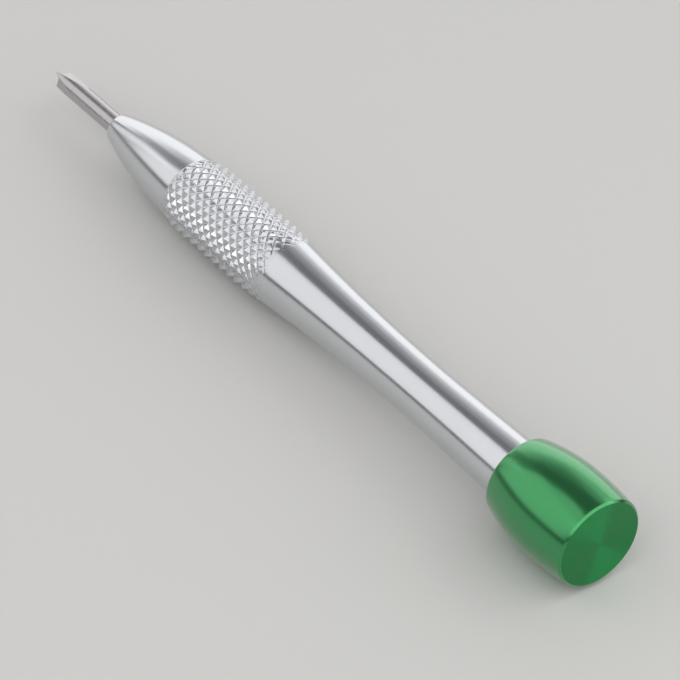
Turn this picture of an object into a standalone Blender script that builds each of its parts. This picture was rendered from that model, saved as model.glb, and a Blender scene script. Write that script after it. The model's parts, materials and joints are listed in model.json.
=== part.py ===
"""Y-shaped (tri-wing) precision screwdriver with a swivelling finger cap.

A tri-wing blade is pressed into a turned aluminium handle with a pyramid knurl and a long waist.
The barrel-shaped cap turns on a shielded miniature ball bearing, which a washer and a screw hold
on the handle's rear spigot. Every piece is drawn along its own Z axis, from the blade's tip at
z = 0 to the cap's end face, and hangs on one empty that lays the tool down as it comes to rest,
on the belly of the cap and the first crests of the knurl.
"""
import math

import bmesh
import bpy
from mathutils import Matrix, Vector

MM = 0.001

# The whole tool: the waist takes up the length that the other stretches leave
OVERALL_LENGTH = 110.0 * MM

# Blade: a round rod with three sloping flutes, which leave three wings that are thinnest at their edge
BLADE_DIAMETER = 2.7 * MM
BLADE_REACH = 13.2 * MM
TIP_EDGE_CHAMFER = 0.06 * MM
WING_COUNT = 3
WING_EDGE_THICKNESS = 0.2 * MM
WING_LEAN = math.radians(9.0)
WING_TURN = math.radians(94.0)
FLUTE_ROOT_RADIUS = 0.12 * MM
FLUTE_LENGTH = 5.8 * MM
SHANK_DEPTH = 18.0 * MM
SHANK_FLATS_LENGTH = 7.0 * MM
SHANK_FLATS_ACROSS = 2.2 * MM
SHANK_FLATS_RAMP = 0.4 * MM

# Handle, front to rear
NOSE_LENGTH = 16.4 * MM
NOSE_FRONT_DIAMETER = 3.9 * MM
NOSE_REAR_DIAMETER = 9.28 * MM
NOSE_ARC_RADIUS = 64.0 * MM
NOSE_LIP_RADIUS = 0.5 * MM
KNURL_DIAMETER = 10.24 * MM
KNURL_DEPTH = 0.42 * MM
KNURL_LENGTH = 20.6 * MM
KNURL_SHOULDER = 0.12 * MM
KNURL_RUN_IN = 1.6 * MM
WAIST_DIAMETER = 7.32 * MM
WAIST_TAPER_SHARE = 0.58
NECK_DIAMETER = 7.92 * MM
NECK_IN_CAP = 1.2 * MM
NECK_CHAMFER = 0.2 * MM
BOSS_DIAMETER = 4.0 * MM
BOSS_HEIGHT = 0.3 * MM

# The knurl's grooves of each hand: how many there are, and how far apart they lie along the axis
KNURL_STARTS = (20, 18)
KNURL_PITCHES = (1.56 * MM, 1.437 * MM)
KNURL_TURN = math.radians(5.7)

# Cap
CAP_LENGTH = 14.6 * MM
CAP_FRONT_DIAMETER = 10.5 * MM
CAP_BELLY_DIAMETER = 12.9 * MM
CAP_BELLY_AT = 8.0 * MM
CAP_END_DIAMETER = 12.0 * MM
CAP_END_CHAMFER = 0.28 * MM
CAP_LIP_RADIUS = 0.6 * MM
CAP_SHOULDER = 0.7 * MM
CAP_HEAD_ROOM = 0.9 * MM

# Bearing, 3 x 8 x 4 mm with seven balls
BEARING_BORE = 3.0 * MM
BEARING_DIAMETER = 8.0 * MM
BEARING_WIDTH = 4.0 * MM
BALL_DIAMETER = 1.588 * MM
BALL_COUNT = 7
RACE_CONFORMITY = 0.53
RING_LAND = 0.28 * MM
SHIELD_THICKNESS = 0.2 * MM
SHIELD_INSET = 0.25 * MM
SHIELD_SEAT = 0.25 * MM
SNAP_RING_WIDTH = 0.25 * MM
SNAP_RING_OPENING = math.radians(28.0)
CAGE_THICKNESS = 0.15 * MM
CAGE_WIDTH = 0.6 * MM

# Retaining screw and washer
SCREW_DIAMETER = 2.0 * MM
SCREW_LENGTH = 5.0 * MM
SCREW_HEAD_DIAMETER = 3.8 * MM
SCREW_HEAD_HEIGHT = 1.3 * MM
SCREW_HEAD_ROUNDING = 0.8 * MM
SCREW_RECESS_WIDTH = 0.4 * MM
SCREW_RECESS_SPAN = 2.2 * MM
SCREW_RECESS_DEPTH = 0.7 * MM
WASHER_DIAMETER = 4.6 * MM
WASHER_THICKNESS = 0.4 * MM

# Fits: pieces that sit tight, and pieces that run past each other
SEAT_GAP = 0.04 * MM
RUNNING_GAP = 0.14 * MM
BALL_GAP = 0.05 * MM

# A rounding takes at most this share of the stretches beside it
FILLET_SHARE = 0.8

# A flute's wheel starts this share of its length before the tip's end and lifts off past its run-out
FLUTE_OVERRUN = (-0.1, 1.2)

# Edges sharper than this stay crisp in smooth shading
CRISP_ANGLE = math.radians(28.0)

# Facets round a full turn, and along a curve
HANDLE_STEPS = sum(KNURL_STARTS)
CAP_STEPS = 48
BEARING_STEPS = 36
SCREW_STEPS = 24
BALL_STEPS = 12
BALL_RINGS = 8
CAGE_STEPS_PER_BALL = 10
NOSE_STEPS = 8
REAR_STEPS = 12
BARREL_STEPS = 6
RACE_STEPS = 6
LIP_STEPS = 4

# Places along the axis
NOSE_FRONT = BLADE_REACH
KNURL_FRONT = NOSE_FRONT + NOSE_LENGTH
KNURL_START = KNURL_FRONT + KNURL_SHOULDER
KNURL_REAR = KNURL_FRONT + KNURL_LENGTH
CAP_END = OVERALL_LENGTH
CAP_FRONT = CAP_END - CAP_LENGTH
CAP_BELLY = CAP_FRONT + CAP_BELLY_AT
WAIST = KNURL_REAR + WAIST_TAPER_SHARE * (CAP_FRONT - KNURL_REAR)
NECK_END = CAP_FRONT + NECK_IN_CAP
BOSS_END = NECK_END + BOSS_HEIGHT
BEARING_FRONT = BOSS_END + SEAT_GAP
BEARING_REAR = BEARING_FRONT + BEARING_WIDTH
BEARING_MIDDLE = (BEARING_FRONT + BEARING_REAR) / 2
SPIGOT_END = BEARING_REAR - SEAT_GAP
WASHER_FRONT = BEARING_REAR + SEAT_GAP
SCREW_SEAT = WASHER_FRONT + WASHER_THICKNESS + SEAT_GAP
SCREW_TOP = SCREW_SEAT + SCREW_HEAD_HEIGHT

# The crests and groove crossings stand in columns that lean by the difference of the two hands
KNURL_DRIFT = KNURL_STARTS[0] - KNURL_STARTS[1]
KNURL_LEAN = 1 / KNURL_PITCHES[0] - 1 / KNURL_PITCHES[1]
KNURL_RISE = 1 / KNURL_PITCHES[0] + 1 / KNURL_PITCHES[1]

# Radii that more than one piece shares
BLADE_RADIUS = BLADE_DIAMETER / 2
CREST_RADIUS = KNURL_DIAMETER / 2
ROOT_RADIUS = CREST_RADIUS - KNURL_DEPTH
NECK_RADIUS = NECK_DIAMETER / 2
BALL_RADIUS = BALL_DIAMETER / 2
PITCH_RADIUS = (BEARING_BORE + BEARING_DIAMETER) / 4
RACE_RADIUS = RACE_CONFORMITY * BALL_DIAMETER
INNER_RACE = PITCH_RADIUS - BALL_RADIUS - BALL_GAP
OUTER_RACE = PITCH_RADIUS + BALL_RADIUS + BALL_GAP
INNER_LAND = INNER_RACE + RING_LAND
OUTER_LAND = OUTER_RACE - RING_LAND
SHIELD_POCKET = OUTER_LAND + SHIELD_SEAT


def clear_scene():
    """Remove whatever the scene holds."""
    for thing in list(bpy.data.objects):
        bpy.data.objects.remove(thing, do_unlink=True)


def finish(name, red, green, blue, metallic, roughness):
    """A plain Principled material in linear colour."""
    material = bpy.data.materials.new(name)
    material.use_nodes = True
    shader = material.node_tree.nodes["Principled BSDF"]
    shader.inputs["Base Color"].default_value = (red, green, blue, 1.0)
    shader.inputs["Metallic"].default_value = metallic
    shader.inputs["Roughness"].default_value = roughness
    material.diffuse_color = (red, green, blue, 1.0)
    return material


def add_object(name, mesh_data, material, parent):
    """Wrap a bmesh as a named, smooth-shaded object on the tool's axis."""
    bmesh.ops.recalc_face_normals(mesh_data, faces=mesh_data.faces[:])
    mesh = bpy.data.meshes.new(name)
    mesh_data.to_mesh(mesh)
    mesh_data.free()
    mesh.shade_smooth()
    mesh.set_sharp_from_angle(angle=CRISP_ANGLE)
    thing = bpy.data.objects.new(name, mesh)
    bpy.context.collection.objects.link(thing)
    thing.parent = parent
    if material:
        mesh.materials.append(material)
    return thing


def sweep_points(centre, first, last, steps):
    """Points on the circle about a centre, from first round to last."""
    start = first - centre
    end = last - centre
    points = []
    for step in range(steps + 1):
        points.append(tuple(centre + start.slerp(end, step / steps).normalized() * start.length))
    return points


def fillet(before, corner, after, radius, steps=LIP_STEPS):
    """Points of a rounding that replaces the corner between two straight stretches."""
    corner = Vector(corner)
    back = Vector(before) - corner
    ahead = Vector(after) - corner
    half = back.angle(ahead) / 2
    reach = min(radius / math.tan(half), FILLET_SHARE * back.length, FILLET_SHARE * ahead.length)
    back.normalize()
    ahead.normalize()
    centre = corner + (back + ahead).normalized() * reach / math.cos(half)
    return sweep_points(centre, corner + back * reach, corner + ahead * reach, steps)


def arc_between(first, last, radius, steps):
    """Points of a circular arc from first to last that bulges away from the axis."""
    first, last = Vector(first), Vector(last)
    chord = last - first
    outward = Vector((-chord.y, chord.x)).normalized()
    if outward.x < 0:
        outward = -outward
    half = chord.length / 2
    centre = (first + last) / 2 - outward * math.sqrt(radius * radius - half * half)
    return sweep_points(centre, first, last, steps)


def crown(peak, edge, steps):
    """Points from a peak to an edge on the arc that is level at the peak."""
    drop = peak[0] - edge[0]
    run = edge[1] - peak[1]
    radius = (run * run + drop * drop) / (2 * drop)
    sweep = math.asin(abs(run) / radius)
    points = []
    for step in range(steps + 1):
        angle = sweep * step / steps
        points.append((peak[0] - radius * (1 - math.cos(angle)),
                       peak[1] + math.copysign(radius * math.sin(angle), run)))
    return points


def race(land, bottom, radius, outward):
    """Half-round ball race across a ring, front land to rear land; outward is 1 or -1."""
    centre = bottom + outward * radius
    half_width = math.sqrt(radius * radius - (land - centre) ** 2)
    sweep = math.asin(half_width / radius)
    points = []
    for step in range(RACE_STEPS + 1):
        angle = sweep * (2 * step / RACE_STEPS - 1)
        points.append((centre - outward * radius * math.cos(angle), radius * math.sin(angle)))
    return points


def ring_radius(radius, angle):
    """A ring's radius at one angle: one number, or a rule of the angle."""
    return radius(angle) if callable(radius) else radius


def turned(profile, steps, phase=0.0, closed=False, opening=0.0, knurled=None):
    """Turn a profile of (radius, z) points about Z.

    A point with radius 0 closes the shape on the axis. A closed profile makes a ring, and an
    opening leaves that angle out of the turn. The knurl takes the place of the plain cells behind
    the knurled ring.
    """
    shape = bmesh.new()
    span = 2 * math.pi - opening
    stations = steps + 1 if opening else steps
    rings = []
    for radius, z in profile:
        if radius == 0:
            rings.append([shape.verts.new((0, 0, z))])
            continue
        ring = []
        for step in range(stations):
            angle = span * (step + phase) / steps
            here = ring_radius(radius, angle)
            ring.append(shape.verts.new((here * math.cos(angle), here * math.sin(angle), z)))
        rings.append(ring)
    pairs = list(zip(rings, rings[1:]))
    if closed:
        pairs.append((rings[-1], rings[0]))
    for index, (low, high) in enumerate(pairs):
        if index == knurled:
            add_knurl(shape, low, high)
            continue
        for step in range(stations - 1 if opening else steps):
            add_cell(shape, low, high, step, (step + 1) % stations)
    if opening:
        shape.faces.new([ring[0] for ring in rings])
        shape.faces.new([ring[-1] for ring in reversed(rings)])
    return shape


def add_cell(shape, low, high, step, after):
    """One cell between two rings, as a fan at the axis or a quad."""
    if len(low) == 1:
        shape.faces.new((low[0], high[after], high[step]))
    elif len(high) == 1:
        shape.faces.new((low[step], low[after], high[0]))
    else:
        shape.faces.new((low[step], low[after], high[after], high[step]))


def cut(target, cutter, name):
    """Cut one object with another, which stays as a wire guide."""
    cutter.hide_render = True
    cutter.display_type = 'WIRE'
    modifier = target.modifiers.new(name, 'BOOLEAN')
    modifier.operation = 'DIFFERENCE'
    modifier.object = cutter


def flatted(radius, across):
    """Radius rule of a round section with two flats."""
    return lambda angle: min(radius, across / 2 / max(abs(math.cos(angle)), 1e-6))


def shank_profile(gap):
    """The blade's shank from the nose to its end, grown by a gap for the bore."""
    end = NOSE_FRONT + SHANK_DEPTH
    flats = end - SHANK_FLATS_LENGTH
    radius = BLADE_RADIUS + gap
    across = SHANK_FLATS_ACROSS + 2 * gap
    return [(radius, flats), (flatted(radius, across), flats + SHANK_FLATS_RAMP),
            (flatted(radius, across), end + gap), (0, end + gap)]


def flute_cutter(parent, turn):
    """One flute's wheel path: a rounded vee that rises in a straight line out of the rod."""
    sector = math.pi / WING_COUNT
    half_vee = sector + WING_LEAN
    lean = math.tan(WING_LEAN)
    root = (WING_EDGE_THICKNESS / 2 + BLADE_RADIUS * lean) / (math.sin(sector) + math.cos(sector) * lean)
    arm = Vector((math.cos(half_vee), math.sin(half_vee))) * 2 * BLADE_DIAMETER
    far = Vector((arm.x, -arm.y))
    section = [tuple(far)] + fillet(far, (0, 0), arm, FLUTE_ROOT_RADIUS) + [tuple(arm)]
    shape = bmesh.new()
    rings = []
    for share in FLUTE_OVERRUN:
        depth = root + (BLADE_RADIUS - root) * share
        rings.append([shape.verts.new((depth + x, y, FLUTE_LENGTH * share)) for x, y in section])
    low, high = rings
    for step in range(len(section)):
        after = (step + 1) % len(section)
        shape.faces.new((low[step], low[after], high[after], high[step]))
    shape.faces.new(reversed(low))
    shape.faces.new(high)
    bmesh.ops.rotate(shape, verts=shape.verts[:], matrix=Matrix.Rotation(turn, 3, 'Z'))
    return add_object("flute_cutter", shape, None, parent)


def make_blade(parent):
    """Round rod with a fluted three-wing tip and a flatted shank."""
    material = finish("blade_steel", 0.42, 0.39, 0.35, 1.0, 0.28)
    profile = [(0, 0), (BLADE_RADIUS - TIP_EDGE_CHAMFER, 0), (BLADE_RADIUS, TIP_EDGE_CHAMFER)]
    blade = add_object("blade", turned(profile + shank_profile(0), HANDLE_STEPS), material, parent)
    for index in range(WING_COUNT):
        turn = WING_TURN + (2 * index + 1) * math.pi / WING_COUNT
        cut(blade, flute_cutter(parent, turn), "flute_%d" % (index + 1))


def waist_radius(z):
    """Handle radius behind the knurl: an arc down to the waist, then an eased rise to the neck."""
    waist = WAIST_DIAMETER / 2
    if z <= WAIST:
        drop = ROOT_RADIUS - waist
        run = WAIST - KNURL_REAR
        arc = (run * run + drop * drop) / (2 * drop)
        return waist + arc - math.sqrt(arc * arc - (WAIST - z) ** 2)
    share = (z - WAIST) / (CAP_FRONT - WAIST)
    return waist + (NECK_RADIUS - waist) * share * share * (3 - 2 * share)


def knurl_column(column):
    """One column of the knurl from front to rear, as (angle, z, radius) for each of its rows.

    Crests and groove crossings alternate along it. The crests rise over the run-in, and they fade
    where the waist cuts into them.
    """
    scale = HANDLE_STEPS * KNURL_RISE - KNURL_DRIFT * KNURL_LEAN
    first = math.ceil((KNURL_SHOULDER * scale + KNURL_DRIFT * column) / HANDLE_STEPS)
    reach = KNURL_REAR - KNURL_SHOULDER - KNURL_START
    last = math.floor((reach * scale + KNURL_DRIFT * column) / HANDLE_STEPS)
    spots = {}
    for row in range(first, last + 1):
        turn = (column * KNURL_RISE - row * KNURL_LEAN) / scale
        run = (HANDLE_STEPS * row - KNURL_DRIFT * column) / scale
        z = KNURL_START + run
        height = 0 if (column + row) % 2 else KNURL_DEPTH * min(run / KNURL_RUN_IN, 1)
        spots[row] = (KNURL_TURN + 2 * math.pi * turn, z, min(ROOT_RADIUS + height, waist_radius(z)))
    return spots


def ring_pair(ring, column):
    """The two points of a plain ring that lie nearest to a column of the knurl and to the next one."""
    lean = KNURL_LEAN * (ring[0].co.z - KNURL_START)
    start = column + round(KNURL_TURN * HANDLE_STEPS / (2 * math.pi) - lean)
    return [ring[start % HANDLE_STEPS], ring[(start + 1) % HANDLE_STEPS]]


def close_knurl(shape, edge, near, far, rows, far_rows):
    """Fan between a plain ring's edge and the outermost rows of two neighbouring columns."""
    if rows[0] not in far:
        edge, near, far, rows, far_rows = edge[::-1], far, near, far_rows, rows
    line = edge + [far[row] for row in far_rows[:far_rows.index(rows[0]) + 1]]
    for first, second in zip(line, line[1:]):
        shape.faces.new((near[rows[0]], first, second))


def add_knurl(shape, front, rear):
    """Four-sided pyramids between the grooves of both hands, from the ring before to the ring behind."""
    lines = []
    for column in range(HANDLE_STEPS):
        line = {}
        for row, (angle, z, radius) in knurl_column(column).items():
            line[row] = shape.verts.new((radius * math.cos(angle), radius * math.sin(angle), z))
        lines.append(line)
    for column, near in enumerate(lines):
        after = (column + 1) % HANDLE_STEPS
        drift = 0 if after else KNURL_DRIFT
        far = {row + drift: spot for row, spot in lines[after].items()}
        rows, far_rows = sorted(near), sorted(far)
        close_knurl(shape, ring_pair(front, column), near, far, rows, far_rows)
        close_knurl(shape, ring_pair(rear, column), near, far, rows[::-1], far_rows[::-1])
        for row in rows[:-1]:
            if row not in far or row + 1 not in far:
                continue
            corners = (near[row], far[row], far[row + 1], near[row + 1])
            turn = 0 if (column + row) % 2 else 1
            low, right, high, left = corners[turn:] + corners[:turn]
            shape.faces.new((low, right, high))
            shape.faces.new((low, high, left))


def make_handle(parent):
    """One turned bar: nose, knurl, waist, neck and bearing spigot, bored at both ends."""
    material = finish("handle_aluminium", 0.68, 0.69, 0.71, 1.0, 0.22)
    bore = list(reversed(shank_profile(SEAT_GAP)))
    bore_radius = BLADE_RADIUS + SEAT_GAP
    nose_corner = (NOSE_FRONT_DIAMETER / 2, NOSE_FRONT)
    nose = arc_between(nose_corner, (NOSE_REAR_DIAMETER / 2, KNURL_FRONT), NOSE_ARC_RADIUS, NOSE_STEPS)
    mouth = (bore_radius, NOSE_FRONT)
    lip = fillet(mouth, nose_corner, nose[1], NOSE_LIP_RADIUS)
    profile = bore + [mouth] + lip + nose[1:] + [(ROOT_RADIUS, KNURL_START), (ROOT_RADIUS, KNURL_REAR)]
    knurled = len(profile) - 2
    rear_length = CAP_FRONT - KNURL_REAR
    for step in range(1, REAR_STEPS + 1):
        z = KNURL_REAR + rear_length * step / REAR_STEPS
        profile.append((waist_radius(z), z))
    spigot = BEARING_BORE / 2 - SEAT_GAP
    screw_hole = SCREW_DIAMETER / 2 + SEAT_GAP
    hole_bottom = SCREW_SEAT - SCREW_LENGTH - RUNNING_GAP
    profile += [(NECK_RADIUS, NECK_END - NECK_CHAMFER), (NECK_RADIUS - NECK_CHAMFER, NECK_END),
                (BOSS_DIAMETER / 2, NECK_END), (BOSS_DIAMETER / 2, BOSS_END), (spigot, BOSS_END),
                (spigot, SPIGOT_END), (screw_hole, SPIGOT_END), (screw_hole, hole_bottom), (0, hole_bottom)]
    add_object("handle", turned(profile, HANDLE_STEPS, knurled=knurled), material, parent)


def make_cap(parent):
    """Closed barrel with a turned end face, a neck opening and a stepped blind bore."""
    material = finish("cap_green_anodised", 0.03, 0.26, 0.07, 1.0, 0.3)
    belly = (CAP_BELLY_DIAMETER / 2, CAP_BELLY)
    rim = (CAP_END_DIAMETER / 2, CAP_END - CAP_END_CHAMFER)
    front = (CAP_FRONT_DIAMETER / 2, CAP_FRONT)
    opening = NECK_RADIUS + RUNNING_GAP
    seat = BEARING_DIAMETER / 2 + SEAT_GAP
    shoulder = seat - CAP_SHOULDER
    rear_arc = list(reversed(crown(belly, rim, BARREL_STEPS)))
    front_arc = crown(belly, front, BARREL_STEPS)
    mouth = (opening, CAP_FRONT)
    profile = [(0, CAP_END), (CAP_END_DIAMETER / 2 - CAP_END_CHAMFER, CAP_END)] + rear_arc + front_arc[1:-1]
    profile += fillet(front_arc[-2], front, mouth, CAP_LIP_RADIUS)
    profile += [mouth, (opening, NECK_END + RUNNING_GAP), (seat, NECK_END + RUNNING_GAP),
                (seat, BEARING_REAR + SEAT_GAP), (shoulder, BEARING_REAR + SEAT_GAP),
                (shoulder, SCREW_TOP + CAP_HEAD_ROOM), (0, SCREW_TOP + CAP_HEAD_ROOM)]
    add_object("swivel_cap", turned(profile, CAP_STEPS, phase=0.5), material, parent)


def at_bearing(points):
    """Move points drawn about z = 0 to the middle of the bearing."""
    return [(radius, z + BEARING_MIDDLE) for radius, z in points]


def make_rings(parent):
    """Inner and outer bearing rings with their ball races and shield pockets."""
    steel = finish("bearing_ring_steel", 0.55, 0.56, 0.58, 1.0, 0.15)
    half = BEARING_WIDTH / 2
    bore = BEARING_BORE / 2
    outside = BEARING_DIAMETER / 2
    inner = [(bore, -half), (INNER_LAND, -half)] + race(INNER_LAND, INNER_RACE, RACE_RADIUS, 1)
    inner += [(INNER_LAND, half), (bore, half)]
    add_object("bearing_inner_ring", turned(at_bearing(inner), BEARING_STEPS, closed=True), steel, parent)
    floor = half - SHIELD_INSET - SHIELD_THICKNESS - SEAT_GAP
    outer = [(outside, -half), (SHIELD_POCKET, -half), (SHIELD_POCKET, -floor), (OUTER_LAND, -floor)]
    outer += race(OUTER_LAND, OUTER_RACE, RACE_RADIUS, -1)
    outer += [(OUTER_LAND, floor), (SHIELD_POCKET, floor), (SHIELD_POCKET, half), (outside, half)]
    outer_steel = finish("bearing_outer_ring_steel", 0.55, 0.56, 0.58, 1.0, 0.15)
    outer_ring = turned(at_bearing(outer), BEARING_STEPS, closed=True)
    add_object("bearing_outer_ring", outer_ring, outer_steel, parent)


def make_shields(parent):
    """A thin shield and its split snap ring in the pocket at each face of the bearing."""
    half = BEARING_WIDTH / 2
    pocket = SHIELD_POCKET - SEAT_GAP
    hole = INNER_LAND + RUNNING_GAP
    outside = half - SHIELD_INSET
    inside = outside - SHIELD_THICKNESS
    low = outside + SEAT_GAP
    for place, side in (("front", -1), ("rear", 1)):
        shield = [(hole, side * inside), (pocket, side * inside),
                  (pocket, side * outside), (hole, side * outside)]
        tin = finish("shield_steel_" + place, 0.5, 0.5, 0.5, 1.0, 0.3)
        plate = turned(at_bearing(shield), BEARING_STEPS, closed=True)
        add_object("bearing_shield_" + place, plate, tin, parent)
        wire = [(pocket - SNAP_RING_WIDTH, side * low), (pocket, side * low),
                (pocket, side * (half - SEAT_GAP)), (pocket - SNAP_RING_WIDTH, side * (half - SEAT_GAP))]
        spring = finish("snap_ring_steel_" + place, 0.4, 0.4, 0.42, 1.0, 0.35)
        ring = turned(at_bearing(wire), BEARING_STEPS, closed=True, opening=SNAP_RING_OPENING)
        add_object("shield_snap_ring_" + place, ring, spring, parent)


def make_balls(parent):
    """Seven balls, evenly spaced on the pitch circle."""
    steel = finish("ball_steel", 0.6, 0.6, 0.62, 1.0, 0.08)
    for index in range(BALL_COUNT):
        turn = 2 * math.pi * index / BALL_COUNT
        shape = bmesh.new()
        bmesh.ops.create_uvsphere(shape, u_segments=BALL_STEPS, v_segments=BALL_RINGS, radius=BALL_RADIUS)
        place = (PITCH_RADIUS * math.cos(turn), PITCH_RADIUS * math.sin(turn), BEARING_MIDDLE)
        bmesh.ops.translate(shape, verts=shape.verts[:], vec=place)
        add_object("bearing_ball_%d" % (index + 1), shape, steel, parent)


def make_cage(parent):
    """Two pressed ribbons, flat between the balls and bowed round each one."""
    pocket = BALL_RADIUS + BALL_GAP
    count = CAGE_STEPS_PER_BALL * BALL_COUNT
    low_radius = PITCH_RADIUS - CAGE_WIDTH / 2
    high_radius = PITCH_RADIUS + CAGE_WIDTH / 2
    for place, side in (("front", -1), ("rear", 1)):
        shape = bmesh.new()
        rings = []
        for step in range(count):
            angle = 2 * math.pi * step / count
            nearest = 2 * math.pi / BALL_COUNT * round(angle * BALL_COUNT / (2 * math.pi))
            across = PITCH_RADIUS * abs(math.sin(angle - nearest))
            bow = math.sqrt(max(pocket ** 2 - across ** 2, 0.0))
            near = max(bow, SEAT_GAP / 2)
            outer_bow = math.sqrt(max((pocket + CAGE_THICKNESS) ** 2 - across ** 2, 0.0))
            far = max(outer_bow, near + CAGE_THICKNESS)
            section = [(low_radius, near), (high_radius, near), (high_radius, far), (low_radius, far)]
            ring = []
            for radius, height in section:
                spot = (radius * math.cos(angle), radius * math.sin(angle), BEARING_MIDDLE + side * height)
                ring.append(shape.verts.new(spot))
            rings.append(ring)
        for step in range(count):
            here, after = rings[step], rings[(step + 1) % count]
            for edge in range(len(here)):
                follow = (edge + 1) % len(here)
                shape.faces.new((here[edge], here[follow], after[follow], after[edge]))
        ribbon = finish("cage_steel_" + place, 0.5, 0.47, 0.42, 1.0, 0.35)
        add_object("bearing_cage_" + place, shape, ribbon, parent)


def make_fasteners(parent):
    """Washer and cross-recessed pan-head screw that hold the inner ring on the spigot."""
    zinc = finish("washer_zinc", 0.6, 0.6, 0.6, 1.0, 0.3)
    hole = SCREW_DIAMETER / 2 + SEAT_GAP
    rim = WASHER_DIAMETER / 2
    back = WASHER_FRONT + WASHER_THICKNESS
    washer = [(hole, WASHER_FRONT), (rim, WASHER_FRONT), (rim, back), (hole, back)]
    add_object("retaining_washer", turned(washer, BEARING_STEPS, closed=True), zinc, parent)
    plated = finish("screw_zinc", 0.62, 0.62, 0.6, 1.0, 0.25)
    radius = SCREW_DIAMETER / 2
    head = SCREW_HEAD_DIAMETER / 2
    end = SCREW_SEAT - SCREW_LENGTH
    crest = fillet((head, SCREW_SEAT), (head, SCREW_TOP), (0, SCREW_TOP), SCREW_HEAD_ROUNDING)
    profile = [(0, end), (radius, end), (radius, SCREW_SEAT), (head, SCREW_SEAT)] + crest + [(0, SCREW_TOP)]
    screw = add_object("retaining_screw", turned(profile, SCREW_STEPS), plated, parent)
    for index in range(2):
        shape = bmesh.new()
        bmesh.ops.create_cube(shape, size=1.0)
        size = (SCREW_RECESS_SPAN, SCREW_RECESS_WIDTH, 2 * SCREW_RECESS_DEPTH)
        bmesh.ops.scale(shape, verts=shape.verts[:], vec=size)
        turn = Matrix.Rotation(math.radians(90 * index + 45), 3, 'Z')
        bmesh.ops.rotate(shape, verts=shape.verts[:], matrix=turn)
        bmesh.ops.translate(shape, verts=shape.verts[:], vec=(0, 0, SCREW_TOP))
        cut(screw, add_object("recess_cutter", shape, None, parent), "recess_%d" % (index + 1))


def lay_down():
    """The empty that carries the tool: tip towards -X, resting on the knurl's first crests and the belly."""
    belly = CAP_BELLY_DIAMETER / 2 * math.cos(math.pi / CAP_STEPS)
    tilt = math.pi / 2
    for column in range(HANDLE_STEPS):
        for angle, z, radius in knurl_column(column).values():
            tilt = min(tilt, math.atan2(belly - radius * math.cos(angle), CAP_BELLY - z))
    end_radius = CAP_END_DIAMETER / 2 - CAP_END_CHAMFER
    axis = bpy.data.objects.new("tool_axis", None)
    axis.rotation_euler = (0, math.pi / 2 - tilt, 0)
    height = belly * math.cos(tilt) - CAP_BELLY * math.sin(tilt)
    axis.location = (-(CAP_END * math.cos(tilt) + end_radius * math.sin(tilt)) / 2, 0, height)
    bpy.context.collection.objects.link(axis)
    return axis


def main():
    clear_scene()
    axis = lay_down()
    make_blade(axis)
    make_handle(axis)
    make_cap(axis)
    make_rings(axis)
    make_shields(axis)
    make_balls(axis)
    make_cage(axis)
    make_fasteners(axis)


main()
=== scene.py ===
"""Looks of the tri-wing precision screwdriver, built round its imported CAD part.

A fine handle with its pyramid knurl, a fluted blade, a barrel cap and round bearing balls stand for
their CAD nodes. The other bearing pieces keep their nodes. Every surface gets a procedural finish.
Pieces are drawn in tool coordinates, with Z from the blade's tip to the cap's end face, and are then
laid where the CAD part has its axis.
"""
import json
import math

import bmesh
import bpy
from bpy.props import FloatProperty, FloatVectorProperty, IntProperty, PointerProperty
from mathutils import Matrix, Vector


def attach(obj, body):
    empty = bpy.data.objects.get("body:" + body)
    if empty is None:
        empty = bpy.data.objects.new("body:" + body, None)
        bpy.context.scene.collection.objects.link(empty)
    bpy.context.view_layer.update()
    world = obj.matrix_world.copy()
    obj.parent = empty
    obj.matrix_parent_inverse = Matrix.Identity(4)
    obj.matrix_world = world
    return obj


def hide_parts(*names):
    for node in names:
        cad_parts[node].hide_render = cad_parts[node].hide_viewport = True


bl_info = {
    "name": "Tri-wing precision screwdriver",
    "version": (1, 0, 0),
    "blender": (4, 5, 0),
    "location": "View3D > Sidebar > Screwdriver",
    "description": "Dresses the packed screwdriver with fine pieces, metal finishes and a studio",
    "category": "Object",
}

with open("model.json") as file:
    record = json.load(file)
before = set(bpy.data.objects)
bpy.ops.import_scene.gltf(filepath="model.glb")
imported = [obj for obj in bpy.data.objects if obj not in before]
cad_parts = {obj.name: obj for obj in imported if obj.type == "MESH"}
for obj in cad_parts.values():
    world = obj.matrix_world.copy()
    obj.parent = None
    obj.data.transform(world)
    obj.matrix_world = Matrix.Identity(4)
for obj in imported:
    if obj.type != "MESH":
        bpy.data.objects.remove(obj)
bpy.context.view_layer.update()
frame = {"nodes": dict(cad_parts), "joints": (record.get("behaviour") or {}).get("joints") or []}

MM = 0.001

# The tool's axis, from the joint that the cap turns on
SPIN = next(joint for joint in frame["joints"] if joint["name"] == "cap_spin")
AXIS = Vector(SPIN["axis"]).normalized()
PIVOT = Vector(SPIN["pos_m"])

# Facets round a full turn, and from a knurl's crest to its groove
CAP_STEPS = 192
BLADE_STEPS = 96
BALL_STEPS = 48
KNURL_STEPS = 6
# Facets along a curve or a straight stretch
NOSE_STEPS = 28
REAR_STEPS = 64
BARREL_STEPS = 20
TIP_STEPS = 30
LIP_STEPS = 8
EDGE_STEPS = 4
FACE_STEPS = 8
# By how much the facets at a groove's bottom lean less than its flanks
KNURL_BLUNT = 0.7
# Most of a straight stretch that a rounding may take up
FILLET_SHARE = 0.8
# Edges that turn by more than this stay crisp
CRISP_ANGLE = math.radians(24.0)
# Points nearer than this are one point, and a face nearer than this to a plane lies in it
WELD = 0.002 * MM
FLUSH = 0.001 * MM
# Brightness left in a cloudy patch on turned metal, and in a speck of grain
PATCH_SHARE = 0.93
SPECK_SHARE = 0.9
UV_NAME = "turned"

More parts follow.
